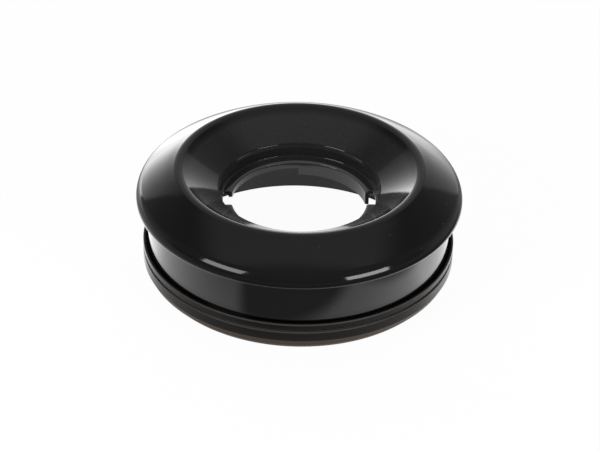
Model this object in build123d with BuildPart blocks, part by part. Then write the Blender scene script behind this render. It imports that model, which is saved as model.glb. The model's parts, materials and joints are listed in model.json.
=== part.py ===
from build123d import *
import os
from math import atan, hypot, radians, tan

# Jar lid: a hard moulded ring with a filler opening, and a rubber gasket round its neck.
# Millimetres, +Z up, the lid's axis on Z and its foot on the plane z = 0.

# Dome and crest
rim_overhang = 5.3
rim_height = 29.2
rim_edge = 4.3
rim_lower_round = 1.0
shoulder_round = 5.8
crest_radius = 45.0
crest_height = 43.0
crest_round = 3.5
flank_bulge = 0.3

# Filler opening: round seat, ledge and the female half of a quarter-turn lock
cap_seat_radius = 30.2
cap_seat_depth = 5.2
seat_edge_round = 0.8
ledge_height = 28.5
ledge_thickness = 1.2
opening_radius = 25.4
lip_wall = 1.4
lip_drop = 1.7
lip_round = 0.7
lock_count = 2
notch_depth = 3.2
notch_width = 8.8
notch_round = 1.2
lead_in_round = 0.9
skirt_drop = 2.9
skirt_draft = 1.0
stop_angle = 88.0

# Walls
shell_wall = 3.0
seat_wall = 2.6
neck_wall = 3.2
hollow_round = 1.5

# Neck and its foot bead
neck_radius = 55.7
neck_root_round = 0.6
bead_height = 2.6
bead_reach = 1.0
foot_taper = 1.8
foot_round = 0.4

# Gasket
gasket_clearance = 0.05
gasket_height = 10.3
gasket_top_fall = 0.7
rib_reach = 2.8
rib_height = 2.3
rib_gap = 1.0
rib_gap_depth = 1.0
rib_round = 0.4
lead_in_height = 2.4

# Places that follow from the sizes above
rim_radius = neck_radius + rim_overhang
shoulder_height = rim_height + rim_edge
seat_top = ledge_height + cap_seat_depth
ledge_bottom = ledge_height - ledge_thickness
lip_bottom = ledge_bottom - lip_drop
lip_outside = opening_radius + lip_wall
skirt_bottom = lip_bottom - skirt_drop
notch_radius = opening_radius + notch_depth
neck_bore = neck_radius - neck_wall
seat_outside = cap_seat_radius + seat_wall
bead_radius = neck_radius + bead_reach
flank_fall = (crest_height - shoulder_height) / (rim_radius - crest_radius)
funnel_fall = (crest_height - seat_top) / (crest_radius - cap_seat_radius)
flank_drop = shell_wall * hypot(1, flank_fall)
funnel_drop = shell_wall * hypot(1, funnel_fall)

# The shoulder's round ends on the rim's upright edge, above the lower round
flank_length = hypot(rim_radius - crest_radius, crest_height - shoulder_height)
flank_foot_angle = atan(flank_fall) + 2 * atan(2 * flank_bulge / flank_length)
shoulder_turn = radians(90) - flank_foot_angle
shoulder_room = 0.95 * (rim_edge - rim_lower_round) / tan(shoulder_turn / 2)


def flank_height(radius):
    return crest_height - (radius - crest_radius) * flank_fall


def funnel_height(radius):
    return crest_height - (crest_radius - radius) * funnel_fall


# Crest of the hollow, where the undersides of flank and funnel meet
hollow_crest_radius = crest_radius + (funnel_drop - flank_drop) / (flank_fall + funnel_fall)
hollow_crest_height = flank_height(hollow_crest_radius) - flank_drop

# Lid ring: section, turned round the axis
with BuildPart() as lid_ring:
    with BuildSketch(Plane.XZ) as section:
        with BuildLine():
            Polyline(
                (neck_bore, 0),
                (bead_radius - foot_taper, 0),
                (bead_radius, bead_height),
                (neck_radius, bead_height),
                (neck_radius, rim_height),
                (rim_radius, rim_height),
                (rim_radius, shoulder_height),
            )
            SagittaArc((rim_radius, shoulder_height), (crest_radius, crest_height), -flank_bulge)
            Polyline(
                (crest_radius, crest_height),
                (cap_seat_radius, seat_top),
                (cap_seat_radius, ledge_height),
                (opening_radius, ledge_height),
                (opening_radius, lip_bottom),
                (lip_outside, lip_bottom),
                (lip_outside, ledge_bottom),
                (seat_outside, ledge_bottom),
                (seat_outside, funnel_height(seat_outside) - funnel_drop),
                (hollow_crest_radius, hollow_crest_height),
                (neck_bore, flank_height(neck_bore) - flank_drop),
                (neck_bore, 0),
            )
        make_face()

        def corner(radius, height):
            return section.vertices().sort_by_distance((radius, height))[0]

        fillet(corner(rim_radius, rim_height), rim_lower_round)
        fillet(corner(rim_radius, shoulder_height), min(shoulder_round, shoulder_room))
        fillet(corner(crest_radius, crest_height), crest_round)
        fillet(corner(cap_seat_radius, seat_top), seat_edge_round)
        fillet(corner(opening_radius, ledge_height), lip_round)
        fillet(corner(neck_radius, rim_height), neck_root_round)
        fillet(corner(seat_outside, funnel_height(seat_outside) - funnel_drop), hollow_round)
        fillet(corner(hollow_crest_radius, hollow_crest_height), hollow_round)
        fillet(corner(neck_bore, flank_height(neck_bore) - flank_drop), hollow_round)
        fillet(corner(bead_radius - foot_taper, 0), foot_round)
        fillet(corner(neck_bore, 0), foot_round)
    revolve(axis=Axis.Z)

    # Skirts under the lip, each from one notch to its stop, where a lug's turn ends
    for turn in range(lock_count):
        with BuildSketch(Plane.XZ.rotated((0, 0, turn * 360 / lock_count))):
            with BuildLine():
                Polyline(
                    (opening_radius, lip_bottom),
                    (opening_radius + skirt_drop * tan(radians(skirt_draft)), skirt_bottom),
                    (lip_outside, skirt_bottom),
                    (lip_outside, lip_bottom),
                    close=True,
                )
            make_face()
        revolve(axis=Axis.Z, revolution_arc=stop_angle)

    # Notches through ledge, lip and skirts that let the cap's lugs in
    with BuildSketch(Plane.XY.offset(skirt_bottom)) as notches:
        with PolarLocations(0, lock_count):
            Rectangle(2 * notch_radius, notch_width, align=(Align.MIN, Align.CENTER))
        Circle(notch_radius, mode=Mode.INTERSECT)
        fillet(notches.vertices().sort_by_distance((0, 0))[-2 * lock_count:], notch_round)
    extrude(amount=ledge_height - skirt_bottom, mode=Mode.SUBTRACT)

    # Rounded lead-in on the lip, where a lug starts its turn
    level_edges = lid_ring.edges().filter_by(Axis.X)
    lip_ends = level_edges.filter_by_position(Axis.Z, lip_bottom - skirt_drop / 2, lip_bottom + lip_drop / 2)
    fillet(lip_ends, lead_in_round)

lid_ring.part.label = "lid_ring"

# Gasket: a ribbed ring that sits on the bead
rib_radius = neck_radius + rib_reach
gasket_bore = neck_radius + gasket_clearance
gasket_top = bead_height + gasket_height
first_rib_top = gasket_top - gasket_top_fall
first_rib_bottom = first_rib_top - rib_height
second_rib_top = first_rib_bottom - rib_gap
lead_in_top = bead_height + lead_in_height
gap_radius = rib_radius - rib_gap_depth

with BuildPart() as sealing_gasket:
    with BuildSketch(Plane.XZ) as ring:
        with BuildLine():
            Polyline(
                (gasket_bore, bead_height),
                (bead_radius, bead_height),
                (rib_radius, lead_in_top),
                (rib_radius, second_rib_top),
                (gap_radius, second_rib_top),
                (gap_radius, first_rib_bottom),
                (rib_radius, first_rib_bottom),
                (rib_radius, first_rib_top),
                (gasket_bore, gasket_top),
                close=True,
            )
        make_face()
        fillet(ring.vertices().group_by(Axis.X)[-1], rib_round)
    revolve(axis=Axis.Z)

sealing_gasket.part.label = "sealing_gasket"

os.makedirs("parts", exist_ok=True)
export_step(lid_ring.part, "parts/lid_ring.step")
export_step(sealing_gasket.part, "parts/sealing_gasket.step")
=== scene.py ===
import json
import math

import bmesh
import bpy
from mathutils import Matrix, Vector


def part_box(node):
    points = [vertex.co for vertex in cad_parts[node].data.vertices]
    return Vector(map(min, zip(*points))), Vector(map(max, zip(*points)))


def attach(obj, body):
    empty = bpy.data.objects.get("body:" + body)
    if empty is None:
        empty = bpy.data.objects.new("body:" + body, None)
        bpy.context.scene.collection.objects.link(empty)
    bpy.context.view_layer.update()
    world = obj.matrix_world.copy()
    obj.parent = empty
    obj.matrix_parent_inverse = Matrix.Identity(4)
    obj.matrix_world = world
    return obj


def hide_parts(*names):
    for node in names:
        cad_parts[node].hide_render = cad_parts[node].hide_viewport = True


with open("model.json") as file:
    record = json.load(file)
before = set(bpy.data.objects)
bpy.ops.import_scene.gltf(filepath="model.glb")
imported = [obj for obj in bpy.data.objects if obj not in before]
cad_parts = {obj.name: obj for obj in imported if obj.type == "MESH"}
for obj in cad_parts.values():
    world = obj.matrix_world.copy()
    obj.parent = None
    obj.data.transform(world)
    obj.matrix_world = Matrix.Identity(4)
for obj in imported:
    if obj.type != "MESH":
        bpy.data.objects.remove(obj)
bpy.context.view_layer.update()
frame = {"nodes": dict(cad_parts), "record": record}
mounts = {mount["name"]: mount for mount in frame["record"]["mounts"]}
mm = 0.001
noiseSpan = {"From Min": 0.3, "From Max": 0.7}      # where most values of a noise texture lie
print("frame loaded:", sorted(frame["nodes"]))


def linearColour(hexColour):
    channels = [int(hexColour[i:i + 2], 16) / 255 for i in (1, 3, 5)]
    return [c / 12.92 if c <= 0.04045 else ((c + 0.055) / 1.055) ** 2.4 for c in channels] + [1.0]


def mmSpan(span):       # the two ends of a Map Range, from lengths in mm
    return {"From Min": span[0] * mm, "From Max": span[1] * mm}


def addNode(tree, kind, settings=None, links=None):
    node = tree.nodes.new(kind)
    for name, value in (settings or {}).items():
        if isinstance(name, str) and hasattr(node, name):
            setattr(node, name, value)
        else:
            node.inputs[name].default_value = value
    for name, source in (links or {}).items():
        tree.links.new(source, node.inputs[name])
    return node


# grey levels that follow a value, from stops of (value, level); the stops' values are in the given unit
def levelRamp(tree, value, stops, unit=1):
    first, last = stops[0][0], stops[-1][0]
    place = addNode(tree, "ShaderNodeMapRange", {"From Min": first * unit, "From Max": last * unit},
                    {"Value": value})
    ramp = addNode(tree, "ShaderNodeValToRGB", {}, {"Fac": place.outputs[0]})
    elements = ramp.color_ramp.elements
    for index, (run, level) in enumerate(stops):
        position = (run - first) / (last - first)
        stop = elements[index] if index < 2 else elements.new(position)     # a new ramp has two
        stop.position = position
        stop.color = (level, level, level, 1)
    return ramp.outputs["Color"]


def newMaterial(name):
    material = bpy.data.materials.new(name)
    material.use_nodes = True
    material.node_tree.nodes.clear()
    return material


def addObject(name, data):
    item = bpy.data.objects.new(name, data)
    bpy.context.collection.objects.link(item)
    return item


def radiusOf(point):
    return math.hypot(point.x, point.y) / mm


def roundSegments(rounding):
    return max(4, min(14, round(5 + 2 * rounding)))


def roundOff(bm, geom, size, segments, affect="EDGES", clamp=False):
    bmesh.ops.bevel(bm, geom=geom, offset=size * mm, offset_type="OFFSET", affect=affect,
                    segments=segments, profile=0.5, material=-1, clamp_overlap=clamp)


# corners are (radius, height, rounding) in mm, in order round the section
def turnSection(corners, turnSteps):
    bm = bmesh.new()
    points = [bm.verts.new((r * mm, 0, z * mm)) for r, z, _ in corners]
    for a, b in zip(points, points[1:] + points[:1]):
        bm.edges.new((a, b))
    for point, (_, _, rounding) in zip(points, corners):
        if rounding:
            a, b = [edge.other_vert(point).co - point.co for edge in point.link_edges]
            reach = rounding / math.tan(a.angle(b) / 2)
            roundOff(bm, [point], reach, roundSegments(rounding), "VERTICES")
    bmesh.ops.spin(bm, geom=bm.verts[:] + bm.edges[:], cent=(0, 0, 0), axis=(0, 0, 1), dvec=(0, 0, 0),
                   angle=math.tau, steps=turnSteps, use_merge=True, use_duplicate=False)
    bmesh.ops.remove_doubles(bm, verts=bm.verts, dist=0.0005 * mm)      # closes the turn
    halfStep = Matrix.Rotation(math.pi / turnSteps, 3, "Z")
    bmesh.ops.rotate(bm, cent=(0, 0, 0), matrix=halfStep, verts=bm.verts)
    bmesh.ops.recalc_face_normals(bm, faces=bm.faces)
    return bm


def finishPiece(bm, name, material, node):
    mesh = bpy.data.meshes.new(name)
    for face in bm.faces:
        face.smooth = True
    bm.to_mesh(mesh)
    bm.free()
    mesh.materials.append(material)
    piece = addObject(name, mesh)
    flats = piece.modifiers.new("flats stay flat", "WEIGHTED_NORMAL")
    flats.mode = "FACE_AREA"
    flats.weight = 100      # the wide faces decide
    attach(piece, "root")
    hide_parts(node)
    print(name, "has", len(mesh.polygons), "faces")


# Moulded ABS, polished mould: near black, mirror gloss with faint smears and a few dust specks; wear hazes
# the funnel and the cap's seat, a painted highlight runs round the opening's edge, and a painted warm glow
# stands for light through the thin foot
absFinish = {
    "colour": "#212122",
    "scuffColour": "#393939",
    "scuffRadius": (42.5, 40.5),    # mm, where the haze begins and is full
    "scuffGrain": 0.7,              # mm
    "scuffLeast": 0.55,             # share of the haze between scuffs
    "scuffBloom": 0.3,              # pale at a low angle
    "bloomRoughness": 0.4,
    # painted warm glow on the thin foot, for light coming through it
    "footGlowColour": "#6b5443",
    "footGlowHeight": (3.4, 2.4),       # mm, where it begins and is full
    "edgeHighlightColour": "#7c7b79",        # painted highlight along the opening's rounded edge
    "edgeHighlightRadius": (26.4, 26.1),     # mm
    "edgeHighlightHeight": (27.6, 27.9),     # mm
    "edgeHighlightShare": 0.8,
    "dustColour": "#8c8a86",
    "dustSpacing": 5.0,             # mm
    "dustRadius": 0.16,             # mm
    "ior": 1.5,
    "roughness": (0.05, 0.11),
    "smearSize": 14.0,              # mm
    "waveSize": 22.0,               # mm, slow unevenness of the moulded skin
    "waveHeight": 0.004,            # mm
}


def mouldedAbs():
    f = absFinish
    material = newMaterial("mouldedAbsGloss")
    tree = material.node_tree
    place = addNode(tree, "ShaderNodeTexCoord").outputs["Object"]
    smear = addNode(tree, "ShaderNodeTexNoise",
                    {"Scale": 1 / (f["smearSize"] * mm), "Detail": 5.0, "Roughness": 0.6}, {"Vector": place})
    gloss = addNode(tree, "ShaderNodeMapRange",
                    {**noiseSpan, "To Min": f["roughness"][0], "To Max": f["roughness"][1]},
                    {"Value": smear.outputs["Fac"]})
    wave = addNode(tree, "ShaderNodeTexNoise", {"Scale": 1 / (f["waveSize"] * mm), "Detail": 1.0},
                   {"Vector": place})
    skin = addNode(tree, "ShaderNodeBump", {"Strength": 1.0, "Distance": f["waveHeight"] * mm},
                   {"Height": wave.outputs["Fac"]})
    cells = addNode(tree, "ShaderNodeTexVoronoi",
                    {"feature": "F1", "Scale": 1 / (f["dustSpacing"] * mm), "Randomness": 1.0},
                    {"Vector": place})
    speck = addNode(tree, "ShaderNodeMath",
                    {"operation": "LESS_THAN", 1: f["dustRadius"] / f["dustSpacing"]},
                    {0: cells.outputs["Distance"]})

    height = addNode(tree, "ShaderNodeSeparateXYZ", {}, {"Vector": place}).outputs["Z"]
    flat = addNode(tree, "ShaderNodeVectorMath", {"operation": "MULTIPLY", 1: (1, 1, 0)}, {0: place})
    radius = addNode(tree, "ShaderNodeVectorMath", {"operation": "LENGTH"}, {0: flat.outputs[0]})
    radius = radius.outputs["Value"]
    worn = addNode(tree, "ShaderNodeMapRange", mmSpan(f["scuffRadius"]), {"Value": radius})
    grain = addNode(tree, "ShaderNodeTexNoise", {"Scale": 1 / (f["scuffGrain"] * mm), "Detail": 4.0},
                    {"Vector": place})
    grain = addNode(tree, "ShaderNodeMapRange", {**noiseSpan, "To Min": f["scuffLeast"]},
                    {"Value": grain.outputs["Fac"]})
    scuffs = addNode(tree, "ShaderNodeMath", {"operation": "MULTIPLY"},
                     {0: worn.outputs[0], 1: grain.outputs[0]})
    # painted warm glow low on the foot, by height
    low = addNode(tree, "ShaderNodeMapRange", mmSpan(f["footGlowHeight"]), {"Value": height})
    # painted highlight: a pale band round the opening's upper edge, by radius and height
    near = addNode(tree, "ShaderNodeMapRange", {**mmSpan(f["edgeHighlightRadius"]), "To Max": f["edgeHighlightShare"]},
                   {"Value": radius})
    edge = addNode(tree, "ShaderNodeMapRange", mmSpan(f["edgeHighlightHeight"]),
                   {"Value": height, "To Max": near.outputs[0]})

    colour = addNode(tree, "ShaderNodeMix", {"data_type": "RGBA", 6: linearColour(f["colour"]),
                                             7: linearColour(f["scuffColour"])}, {"Factor": scuffs.outputs[0]})
    for tint, share in (("footGlowColour", low), ("edgeHighlightColour", edge), ("dustColour", speck)):
        colour = addNode(tree, "ShaderNodeMix", {"data_type": "RGBA", 7: linearColour(f[tint])},
                         {"Factor": share.outputs[0], 6: colour.outputs[2]})
    bloom = addNode(tree, "ShaderNodeMath", {"operation": "MULTIPLY", 1: f["scuffBloom"]},
                    {0: scuffs.outputs[0]})
    surface = addNode(tree, "ShaderNodeBsdfPrincipled",
                      {"IOR": f["ior"], "Sheen Roughness": f["bloomRoughness"]},
                      {"Base Color": colour.outputs[2], "Roughness": gloss.outputs[0],
                       "Sheen Weight": bloom.outputs[0], "Normal": skin.outputs["Normal"]})
    addNode(tree, "ShaderNodeOutputMaterial", {}, {"Surface": surface.outputs[0]})
    return material


# Moulded rubber: black with a brown cast, satin, with a fine soft grain, a painted highlight along each rib's
# upper edge and a painted warm glow at the thin lower edge
rubberFinish = {
    "colour": "#1c1a19",
    "paleColour": "#272321",
    "footGlowColour": "#6b5546",    # painted warm glow on the thin lower edge, for light coming through it
    "footGlowHeight": (5.4, 4.6),   # mm, where it begins and is full
    # painted highlights on the ribs' upper edges; the stops below give their share by height
    "ribHighlightColour": "#5f5b58",
    "ribHighlight": ((8.3, 0), (8.6, 1), (8.95, 1), (9.05, 0),        # lower rib: share by height in mm
               (11.6, 0), (11.9, 1), (12.25, 1), (12.35, 0)),   # upper rib
    "ior": 1.22,                # lower than rubber's 1.5, for its dull skin
    "roughness": (0.24, 0.32),
    "grainSize": 0.9,           # mm
    "grainHeight": 0.006,       # mm
    "bloomSize": 9.0,           # mm, cloudy bloom on the skin
}


def mouldedRubber():
    f = rubberFinish
    material = newMaterial("mouldedRubberSatin")
    tree = material.node_tree
    place = addNode(tree, "ShaderNodeTexCoord").outputs["Object"]
    bloom = addNode(tree, "ShaderNodeTexNoise",
                    {"Scale": 1 / (f["bloomSize"] * mm), "Detail": 4.0, "Roughness": 0.55}, {"Vector": place})
    grain = addNode(tree, "ShaderNodeTexNoise", {"Scale": 1 / (f["grainSize"] * mm), "Detail": 3.0},
                    {"Vector": place})
    satin = addNode(tree, "ShaderNodeMapRange",
                    {**noiseSpan, "To Min": f["roughness"][0], "To Max": f["roughness"][1]},
                    {"Value": bloom.outputs["Fac"]})
    skin = addNode(tree, "ShaderNodeBump", {"Strength": 0.6, "Distance": f["grainHeight"] * mm},
                   {"Height": grain.outputs["Fac"]})
    height = addNode(tree, "ShaderNodeSeparateXYZ", {}, {"Vector": place}).outputs["Z"]
    # painted warm glow low on the gasket's lower edge, by height
    low = addNode(tree, "ShaderNodeMapRange", mmSpan(f["footGlowHeight"]), {"Value": height})
    # painted highlights along the ribs' upper edges
    ribHighlight = levelRamp(tree, height, f["ribHighlight"], mm)
    colour = addNode(tree, "ShaderNodeMix",
                     {"data_type": "RGBA", 6: linearColour(f["colour"]), 7: linearColour(f["paleColour"])},
                     {"Factor": bloom.outputs["Fac"]})
    for tint, share in (("footGlowColour", low.outputs[0]), ("ribHighlightColour", ribHighlight)):
        colour = addNode(tree, "ShaderNodeMix", {"data_type": "RGBA", 7: linearColour(f[tint])},
                         {"Factor": share, 6: colour.outputs[2]})
    surface = addNode(tree, "ShaderNodeBsdfPrincipled", {"IOR": f["ior"]},
                      {"Base Color": colour.outputs[2], "Roughness": satin.outputs[0],
                       "Normal": skin.outputs["Normal"]})
    addNode(tree, "ShaderNodeOutputMaterial", {}, {"Surface": surface.outputs[0]})
    return material


# Lid ring: one moulding turned from its section; lengths in mm
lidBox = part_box("lid_ring")
lidRing = {
    "turnSteps": 360,
    "rimRadius": round(lidBox[1].x / mm, 2),
    "rimHeight": mounts["jar_seat"]["pos_m"][2] / mm,
    "rimEdge": 4.3,
    "rimLowerRound": 1.0,
    "shoulderRound": 5.8,
    "crestRadius": 45.0,
    "crestHeight": 43.0,
    "crestRound": 3.5,
    "flankBulge": 0.3,
    "bulgeShare": 0.55,     # of each half of the flank that its round takes up
    "seatRadius": mounts["cap_seat"]["dims"]["r_mm"],
    "seatDepth": 5.2,
    "seatEdgeRound": 0.8,
    "ledgeHeight": mounts["cap_ledge"]["pos_m"][2] / mm,
    "ledgeThickness": 1.2,
    "openingRadius": mounts["filler_opening"]["dims"]["r_mm"],
    "lipWall": 1.4,
    "lipDrop": 1.7,
    "lipRound": 0.7,
    "notchDepth": 3.2,
    "notchWidth": 8.8,
    "notchRound": 1.2,
    "leadInRound": 0.9,
    "skirtDrop": 2.9,
    "skirtDraft": 1.0,      # degrees
    "stopAngle": 88,        # degrees
    "brokenEdge": 0.12,
    "shellWall": 3.0,
    "seatWall": 2.6,
    "neckWall": 4.3,
    "hollowRound": 1.5,
    "neckRadius": 56.8,     # fuller than the solid's neck
    "neckRootRound": 0.6,
    "beadHeight": 2.6,
    "beadReach": 0.5,
    "footTaper": 2.4,
    "footRound": 0.4,
}
lidRing["notchRadius"] = lidRing["openingRadius"] + lidRing["notchDepth"]
lidRing["ledgeBottom"] = lidRing["ledgeHeight"] - lidRing["ledgeThickness"]


def lidSection(s):
    shoulder = Vector((s["rimRadius"], s["rimHeight"] + s["rimEdge"]))
    crest = Vector((s["crestRadius"], s["crestHeight"]))
    seatTop = s["ledgeHeight"] + s["seatDepth"]
    flank, funnel = crest - shoulder, Vector((crest.x - s["seatRadius"], crest.y - seatTop))
    flankFall, funnelFall = -flank.y / flank.x, funnel.y / funnel.x
    flankDrop = s["shellWall"] * math.hypot(1, flankFall)
    funnelDrop = s["shellWall"] * math.hypot(1, funnelFall)

    def underFlank(radius):
        return crest.y - (radius - crest.x) * flankFall - flankDrop

    def underFunnel(radius):
        return crest.y - (crest.x - radius) * funnelFall - funnelDrop

    # the flank's two end tangents meet here, and a wide round makes its slight bulge
    bow = (shoulder + crest) / 2 + Vector((flank.y, -flank.x)).normalized() * 2 * s["flankBulge"]
    bowTurn = 4 * math.atan(2 * s["flankBulge"] / flank.length)
    bowRound = s["bulgeShare"] * flank.length / 2 / math.tan(bowTurn / 2)
    neckBore = s["neckRadius"] - s["neckWall"]
    seatOutside = s["seatRadius"] + s["seatWall"]
    bead = s["neckRadius"] + s["beadReach"]
    hollowCrest = crest.x + (funnelDrop - flankDrop) / (flankFall + funnelFall)
    return [
        (neckBore, 0, s["footRound"]),
        (bead - s["footTaper"], 0, s["footRound"]),
        (bead, s["beadHeight"], 0),
        (s["neckRadius"], s["beadHeight"], 0),
        (s["neckRadius"], s["rimHeight"], s["neckRootRound"]),
        (s["rimRadius"], s["rimHeight"], s["rimLowerRound"]),
        (shoulder.x, shoulder.y, s["shoulderRound"]),
        (bow.x, bow.y, bowRound),
        (crest.x, crest.y, s["crestRound"]),
        (s["seatRadius"], seatTop, s["seatEdgeRound"]),
        (s["seatRadius"], s["ledgeHeight"], 0),
        (s["notchRadius"], s["ledgeHeight"], 0),
        (s["notchRadius"], s["ledgeBottom"], 0),
        (seatOutside, s["ledgeBottom"], 0),
        (seatOutside, underFunnel(seatOutside), s["hollowRound"]),
        (hollowCrest, underFlank(hollowCrest), s["hollowRound"]),
        (neckBore, underFlank(neckBore), s["hollowRound"]),
    ]


def buildLidRing(s):
    bm = turnSection(lidSection(s), s["turnSteps"])
    lipOutside = s["openingRadius"] + s["lipWall"]
    lipBottom = s["ledgeBottom"] - s["lipDrop"]
    side = s["notchWidth"] / 2
    halfAngle = math.degrees(math.asin(side / s["notchRadius"]))
    touch, margin = 0.01, 0.1       # mm: counts as the same place, and as next to it
    spareAngle = 0.6                # degrees beside a notch that stay open until its sides are set
    innerGap, sideGap = 0.5, 0.15   # mm inside the notches' depth and past their sides where their edges lie
    roundRoom = 1.4                 # times a corner's round that is cleared for it
    sharpAngle = math.radians(50)
    edgeSegments = 6

    def turnOf(face):       # angle from the nearest notch, 0 to 180
        centre = face.calc_center_median()
        return math.degrees(math.atan2(centre.y, centre.x)) % 180

    def isAt(vert, radius):
        return abs(radiusOf(vert.co) - radius) < touch

    def isLevel(vert, height):
        return abs(vert.co.z / mm - height) < touch

    def growFaces(faces):   # extrudes a patch, and gives its new faces and vertices
        grown = bmesh.ops.extrude_face_region(bm, geom=faces)["geom"]
        bmesh.ops.delete(bm, geom=faces, context="FACES_ONLY")
        return ([item for item in grown if isinstance(item, bmesh.types.BMFace)],
                [item for item in grown if isinstance(item, bmesh.types.BMVert)])

    # the ledge grows inwards from the notches' depth, in two steps, and leaves the notches open
    wall = [face for face in bm.faces
            if all(isAt(v, s["notchRadius"]) for v in face.verts)
            and halfAngle + spareAngle < turnOf(face) < 180 - spareAngle - halfAngle]
    for start, end in ((s["notchRadius"], lipOutside), (lipOutside, s["openingRadius"])):
        wall, inner = growFaces(wall)
        bmesh.ops.scale(bm, vec=(end / start, end / start, 1), verts=inner)
    corners = [edge for edge in bm.edges
               if all(isAt(v, s["notchRadius"]) for v in edge.verts)
               and abs(edge.verts[0].co.z - edge.verts[1].co.z) > margin * mm
               and len(edge.link_faces) == 2 and edge.calc_face_angle() > sharpAngle]
    sides = {vert for edge in corners for vert in edge.verts}
    for vert in bm.verts:   # the notches' sides are parallel
        radius = radiusOf(vert.co)
        isEnd = radius < s["notchRadius"] - innerGap and abs(vert.co.y) < (side + sideGap) * mm
        if isEnd or vert in sides:
            vert.co.x = math.copysign(math.sqrt(radius ** 2 - side ** 2) * mm, vert.co.x)
            vert.co.y = math.copysign(side * mm, vert.co.y)

    # rounded corners at the notches' depth, with room made for them
    crowded = [vert for vert in bm.verts
               if isAt(vert, s["notchRadius"]) and vert not in sides
               and side - roundRoom * s["notchRound"] < abs(vert.co.y / mm) < side]
    bmesh.ops.dissolve_verts(bm, verts=crowded)
    roundOff(bm, corners, s["notchRound"], edgeSegments)

    # the lip hangs from the ledge's inner edge, and a skirt from half of each lip, from a notch to its stop
    under = [face for face in bm.faces
             if all(s["openingRadius"] - margin < radiusOf(v.co) < lipOutside + margin
                    and isLevel(v, s["ledgeBottom"]) for v in face.verts)]
    under, low = growFaces(under)
    bmesh.ops.translate(bm, vec=(0, 0, -s["lipDrop"] * mm), verts=low)
    under, low = growFaces([face for face in under if turnOf(face) < s["stopAngle"]])
    bmesh.ops.translate(bm, vec=(0, 0, -s["skirtDrop"] * mm), verts=low)
    draft = 1 + s["skirtDrop"] * math.tan(math.radians(s["skirtDraft"])) / s["openingRadius"]
    inner = [v for v in low if radiusOf(v.co) < lipOutside - 2 * margin]
    bmesh.ops.scale(bm, vec=(draft, draft, 1), verts=inner)
    for vert in bm.verts:   # rounded lead-in at the lip's free end
        run = -vert.co.y / mm * math.copysign(1, vert.co.x) - side
        toGo = s["leadInRound"] - max(run, 0)
        onLip = isLevel(vert, lipBottom) and radiusOf(vert.co) < lipOutside + margin
        if onLip and toGo > 0 and run > -touch:
            vert.co.z += (s["leadInRound"] - math.sqrt(s["leadInRound"] ** 2 - toGo ** 2)) * mm
    bmesh.ops.recalc_face_normals(bm, faces=bm.faces)

    # round upper edge of the lip; the other moulded edges are never quite sharp
    lipEdge = [edge for edge in bm.edges
               if all(isAt(v, s["openingRadius"]) and isLevel(v, s["ledgeHeight"]) for v in edge.verts)]
    roundOff(bm, lipEdge, s["lipRound"], edgeSegments)
    sharp = [edge for edge in bm.edges
             if edge.is_manifold and edge.calc_face_angle() > sharpAngle and edge.is_convex
             and all(radiusOf(v.co) < s["notchRadius"] + margin for v in edge.verts)]
    roundOff(bm, sharp, s["brokenEdge"], 2, clamp=True)
    return bm


finishPiece(buildLidRing(lidRing), "lidRingMoulding", mouldedAbs(), "lid_ring")
print("lid ring built")

# Gasket: a ribbed rubber ring on the neck's bead; lengths in mm
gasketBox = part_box("sealing_gasket")
gasketClearance = 0.05
gasket = {
    "turnSteps": 360,
    "bore": lidRing["neckRadius"] + gasketClearance,
    "foot": gasketBox[0].z / mm,
    "top": gasketBox[1].z / mm,
    "footRadius": lidRing["neckRadius"] + lidRing["beadReach"],
    "ribRadius": mounts["jar_seal"]["dims"]["r_mm"],
    "topFall": 0.7,
    "ribHeight": 2.3,
    "ribRound": 0.4,
    "ribGap": 1.0,
    "ribGapDepth": 1.0,
    "ribGapRound": 0.2,
    "leadInHeight": 2.4,
}


def gasketSection(s):
    firstTop = s["top"] - s["topFall"]
    firstBottom = firstTop - s["ribHeight"]
    secondTop = firstBottom - s["ribGap"]
    gapRadius = s["ribRadius"] - s["ribGapDepth"]
    return [
        (s["bore"], s["foot"], 0),
        (s["footRadius"], s["foot"], 0),
        (s["ribRadius"], s["foot"] + s["leadInHeight"], s["ribRound"]),
        (s["ribRadius"], secondTop, s["ribRound"]),
        (gapRadius, secondTop, s["ribGapRound"]),
        (gapRadius, firstBottom, s["ribGapRound"]),
        (s["ribRadius"], firstBottom, s["ribRound"]),
        (s["ribRadius"], firstTop, s["ribRound"]),
        (s["bore"], s["top"], 0),
    ]


finishPiece(turnSection(gasketSection(gasket), gasket["turnSteps"]), "sealingGasketRubber", mouldedRubber(),
            "sealing_gasket")
print("gasket built")

# The photograph's view, in the 600 x 450 frame; the studio is set out square to it
viewPoint = {
    "target": (0.53, 0, 16.3),  # mm
    "distance": 900,            # mm
    "azimuth": 2.5,             # degrees, as are the next two
    "elevation": 33.66,
    "roll": 1.3,
    "lens": 143.3,
}
swing = math.radians(viewPoint["azimuth"])

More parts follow.
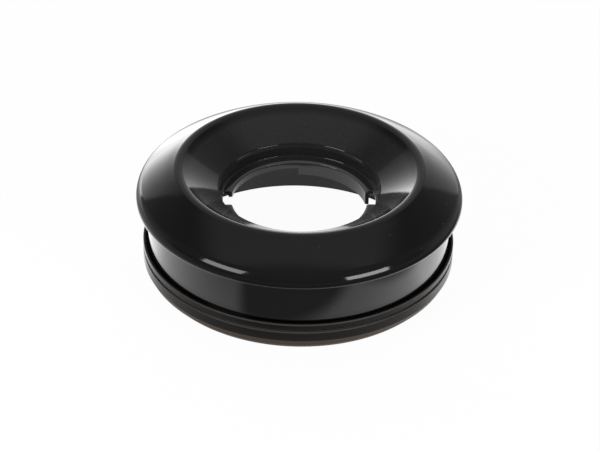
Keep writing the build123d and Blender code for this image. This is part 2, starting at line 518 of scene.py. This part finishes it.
# Floor: white sheet on a darker table; the camera sees it white, with the lid's shadow left in, and gloss
# sees painted light and shade on it, darker close to the lid, and sees where the sheet ends
floorLook = {
    "size": 6.0,
    "colour": "#585858",
    "white": 0.96,
    "inGloss": ((-100, 0.5), (-60, 1.2), (-26, 1.85), (-12, 2.45), (15, 1.95), (60, 1.3), (100, 0.9)),
    "glossTurn": 80.0,      # degrees; inGloss gives the levels by mm in this direction
    "past": 0.12,           # level of the table past the sheet
    "edges": {              # of the sheet: direction out over it in degrees, and mm from the axis
        "left": (-41.0, 18.4),
        "front": (-103.8, 72.0),
        "right": (-29.0, 86.0),
    },
    "edgeBlur": 12.0,       # mm
    "shaded": ((50, 0.08), (54, 0.15), (57, 0.2), (60, 0.85)),      # share of the level by mm from the axis
    "lighter": {            # rounds: mm they lie back, mm where they begin and are full, and the share there
        "underOpening": (19.0, (36.5, 35.0), 0.5),
        "clearOfLid": (-9.5, (66.5, 69.0), 1.0),
    },
    "falls": (97.0, 108.0),     # mm from the axis over which the level falls
    "fallsTo": 0.3,
    "farOff": (120.0, 230.0),   # mm from the axis over which the levels far off take over
    # levels far off by degrees, 0 straight behind, + right
    "far": ((-120, 0.08), (-62, 0.5), (-50, 1.0), (-42, 2.3), (-30, 3.1), (-22, 4.0), (-10, 3.5), (0, 2.9),
            (10, 2.1), (22, 1.9), (30, 0.85), (40, 0.4), (60, 0.28), (120, 0.08)),
}


def buildFloor(s):
    bm = bmesh.new()
    bmesh.ops.create_grid(bm, x_segments=1, y_segments=1, size=s["size"] / 2)
    mesh = bpy.data.meshes.new("tableTop")
    bm.to_mesh(mesh)
    bm.free()
    table = addObject("tableTop", mesh)
    table.rotation_euler.z = -swing
    material = newMaterial("whiteTable")
    mesh.materials.append(material)
    tree = material.node_tree
    place = addNode(tree, "ShaderNodeTexCoord").outputs["Object"]
    reach = addNode(tree, "ShaderNodeVectorMath", {"operation": "LENGTH"}, {0: place}).outputs["Value"]

    def runAlong(turn):     # how far out in one direction of the floor
        way = (math.cos(math.radians(turn)), math.sin(math.radians(turn)), 0)
        run = addNode(tree, "ShaderNodeVectorMath", {"operation": "DOT_PRODUCT", 1: way}, {0: place})
        return run.outputs["Value"]

    # the sheet, and the table past it
    sheet = levelRamp(tree, runAlong(s["glossTurn"]), s["inGloss"], mm)
    past = {}
    for name, (turn, out) in s["edges"].items():
        blur = mmSpan((out - s["edgeBlur"] / 2, out + s["edgeBlur"] / 2))
        past[name] = addNode(tree, "ShaderNodeMapRange", {"interpolation_type": "SMOOTHSTEP", **blur},
                             {"Value": runAlong(turn)}).outputs[0]
    corner = addNode(tree, "ShaderNodeMath", {"operation": "MULTIPLY"}, {0: past["left"], 1: past["front"]})
    dark = addNode(tree, "ShaderNodeMath", {"operation": "MAXIMUM"}, {0: corner.outputs[0], 1: past["right"]})
    sheet = addNode(tree, "ShaderNodeMix", {"data_type": "FLOAT", "B": s["past"]},
                    {"Factor": dark.outputs[0], "A": sheet})

    # painted light and shade round the lid, for gloss only: how much light reaches it
    lit = levelRamp(tree, reach, s["shaded"], mm)
    for shift, span, share in s["lighter"].values():
        spot = addNode(tree, "ShaderNodeVectorMath", {"operation": "SUBTRACT", 1: (0, shift * mm, 0)},
                       {0: place})
        away = addNode(tree, "ShaderNodeVectorMath", {"operation": "LENGTH"}, {0: spot.outputs[0]})
        there = addNode(tree, "ShaderNodeMapRange", {**mmSpan(span), "To Max": share},
                        {"Value": away.outputs["Value"]})
        lit = addNode(tree, "ShaderNodeMath", {"operation": "MAXIMUM"},
                      {0: lit, 1: there.outputs[0]}).outputs[0]
    fall = addNode(tree, "ShaderNodeMapRange",
                   {"interpolation_type": "SMOOTHSTEP", **mmSpan(s["falls"]), "To Min": 1.0,
                    "To Max": s["fallsTo"]}, {"Value": reach})
    lit = addNode(tree, "ShaderNodeMath", {"operation": "MULTIPLY"}, {0: lit, 1: fall.outputs[0]})
    close = addNode(tree, "ShaderNodeMath", {"operation": "MULTIPLY"}, {0: sheet.outputs[0], 1: lit.outputs[0]})

    # far off
    spot = addNode(tree, "ShaderNodeSeparateXYZ", {}, {"Vector": place})
    bearing = addNode(tree, "ShaderNodeMath", {"operation": "ARCTAN2"},
                      {0: spot.outputs["X"], 1: spot.outputs["Y"]})
    far = levelRamp(tree, bearing.outputs[0], s["far"], math.radians(1))
    farOff = addNode(tree, "ShaderNodeMapRange", {"interpolation_type": "SMOOTHSTEP", **mmSpan(s["farOff"])},
                     {"Value": reach})
    inGloss = addNode(tree, "ShaderNodeMix", {"data_type": "FLOAT"},
                      {"Factor": farOff.outputs[0], "A": close.outputs[0], "B": far})

    # what each kind of ray sees
    path = addNode(tree, "ShaderNodeLightPath")
    inGloss = addNode(tree, "ShaderNodeMath", {"operation": "MULTIPLY"},
                      {0: path.outputs["Is Glossy Ray"], 1: inGloss.outputs[0]})
    plain = addNode(tree, "ShaderNodeMath", {"operation": "MAXIMUM"},
                    {0: path.outputs["Is Camera Ray"], 1: path.outputs["Is Transmission Ray"]})
    seen = addNode(tree, "ShaderNodeMath", {"operation": "MULTIPLY_ADD", 1: s["white"]},
                   {0: plain.outputs[0], 2: inGloss.outputs[0]})
    paint = addNode(tree, "ShaderNodeBsdfDiffuse", {"Color": linearColour(s["colour"])})
    white = addNode(tree, "ShaderNodeEmission", {}, {"Strength": seen.outputs[0]})
    both = addNode(tree, "ShaderNodeAddShader", {}, {0: paint.outputs[0], 1: white.outputs[0]})
    addNode(tree, "ShaderNodeOutputMaterial", {}, {"Surface": both.outputs[0]})
    material.cycles.emission_sampling = "NONE"


buildFloor(floorLook)
print("floor laid")

# Studio: a softbox low on each side of the camera; degrees from the camera, + right, and metres
softboxes = {
    "left": {"azimuth": -49.6, "elevation": 23, "width": 0.43, "height": 0.30, "radiance": 4.8},
    "right": {"azimuth": 45, "elevation": 8.7, "width": 0.45, "height": 0.27, "radiance": 7.0},
}
softboxDistance = 0.9
softboxAim = Vector((0, 0, 0.03))
for side, box in softboxes.items():
    lamp = bpy.data.lights.new("softbox_" + side, "AREA")
    lamp.shape = "RECTANGLE"
    lamp.size, lamp.size_y = box["width"], box["height"]
    lamp.energy = box["radiance"] * math.pi * box["width"] * box["height"]
    stand = addObject("softbox_" + side, lamp)
    across, up = math.radians(box["azimuth"]) - swing, math.radians(box["elevation"])
    outward = Vector((math.sin(across) * math.cos(up), -math.cos(across) * math.cos(up), math.sin(up)))
    stand.location = softboxAim + outward * softboxDistance
    stand.rotation_euler = outward.to_track_quat("Z", "Y").to_euler()

# Room: dim, with a bright wall behind, a window low at its left and a faint panel on the ceiling; levels by
# degrees across (0 straight behind, + right) and by the sine of the elevation
room = {
    "before": {"up": ((0.0, 0.06), (0.5, 0.1), (1.0, 0.12))},
    "behind": {"up": ((0.0, 0.3), (0.17, 0.25), (0.34, 0.19), (0.5, 0.11), (0.71, 0.06), (1.0, 0.1))},
    "passes": (-0.1, 0.2),      # how far back the one passes into the other, as a sine
    "wall": {"across": ((-44, 0.0), (-42.3, 0.9), (-30, 1.0), (15, 1.08), (25, 1.0), (35.8, 0.8), (37.2, 0.0)),
             "up": ((0.0, 1.2), (0.08, 0.93), (0.14, 0.66), (0.21, 0.5), (0.28, 0.4), (0.47, 0.22),
                    (0.55, 0.15), (0.64, 0.09), (1.0, 0.02))},
    "window": {"across": ((-44, 0.0), (-42.3, 0.95), (-25, 1.0), (-15, 0.95), (0, 0.5), (10, 0.15), (18, 0.0)),
               "up": ((0.0, 2.9), (0.08, 2.2), (0.14, 1.5), (0.21, 0.9), (0.28, 0.5), (0.34, 0.25),
                      (0.41, 0.12), (0.47, 0.05), (0.55, 0.0))},
    "panel": {"level": 0.2, "side": (0.8, 0.5), "front": (-0.27, -0.1)},    # edges in shares of its height
}
world = bpy.data.worlds.new("dimRoom")
bpy.context.scene.world = world
world.use_nodes = True
sky = world.node_tree
sky.nodes.clear()
square = addNode(sky, "ShaderNodeMapping", {"Rotation": (0, 0, swing)},
                 {"Vector": addNode(sky, "ShaderNodeTexCoord").outputs["Generated"]})
gaze = addNode(sky, "ShaderNodeSeparateXYZ", {}, {"Vector": square.outputs[0]})
bearing = addNode(sky, "ShaderNodeMath", {"operation": "ARCTAN2"},
                  {0: gaze.outputs["X"], 1: gaze.outputs["Y"]})
begins, full = room["passes"]
behind = addNode(sky, "ShaderNodeMapRange",
                 {"interpolation_type": "SMOOTHSTEP", "From Min": begins, "From Max": full},
                 {"Value": gaze.outputs["Y"]})
glow = addNode(sky, "ShaderNodeMix", {"data_type": "RGBA"},
               {"Factor": behind.outputs[0], 6: levelRamp(sky, gaze.outputs["Z"], room["before"]["up"]),
                7: levelRamp(sky, gaze.outputs["Z"], room["behind"]["up"])}).outputs[2]
for name in ("wall", "window"):
    across = levelRamp(sky, bearing.outputs[0], room[name]["across"], math.radians(1))
    upward = levelRamp(sky, gaze.outputs["Z"], room[name]["up"])
    glow = addNode(sky, "ShaderNodeVectorMath", {"operation": "MULTIPLY_ADD"},
                   {0: across, 1: upward, 2: glow}).outputs[0]

# where the gaze meets the ceiling, and how far inside the panel's edges that is
above = addNode(sky, "ShaderNodeVectorMath", {"operation": "DIVIDE"},
                {0: square.outputs[0], 1: gaze.outputs["Z"]})
above = addNode(sky, "ShaderNodeSeparateXYZ", {}, {"Vector": above.outputs[0]})
aside = addNode(sky, "ShaderNodeMath", {"operation": "ABSOLUTE"}, {0: above.outputs["X"]})
inside = {}
for edge, run in (("side", aside.outputs[0]), ("front", above.outputs["Y"])):
    begins, full = room["panel"][edge]
    inside[edge] = addNode(sky, "ShaderNodeMapRange",
                           {"interpolation_type": "SMOOTHSTEP", "From Min": begins, "From Max": full},
                           {"Value": run}).outputs[0]
panel = addNode(sky, "ShaderNodeMath", {"operation": "MULTIPLY"}, {0: inside["side"], 1: inside["front"]})
glow = addNode(sky, "ShaderNodeVectorMath", {"operation": "MULTIPLY_ADD", 1: [room["panel"]["level"]] * 3},
               {0: panel.outputs[0], 2: glow})
light = addNode(sky, "ShaderNodeBackground", {}, {"Color": glow.outputs[0]})
addNode(sky, "ShaderNodeOutputWorld", {}, {"Surface": light.outputs[0]})
print("studio lit")

# Camera at the view point
camera = bpy.data.cameras.new("photoView")
camera.lens = viewPoint["lens"]
camera.sensor_width = 36
camera.clip_start = 0.01
holder = addObject("photoView", camera)
rise = math.radians(viewPoint["elevation"])
back = Vector((-math.sin(swing) * math.cos(rise), -math.cos(swing) * math.cos(rise), math.sin(rise)))
holder.location = (Vector(viewPoint["target"]) + back * viewPoint["distance"]) * mm
turn = back.to_track_quat("Z", "Y").to_matrix() @ Matrix.Rotation(math.radians(viewPoint["roll"]), 3, "Z")
holder.rotation_euler = turn.to_euler()
bpy.context.scene.camera = holder
bpy.context.scene.view_settings.view_transform = "Standard"
print("camera set")
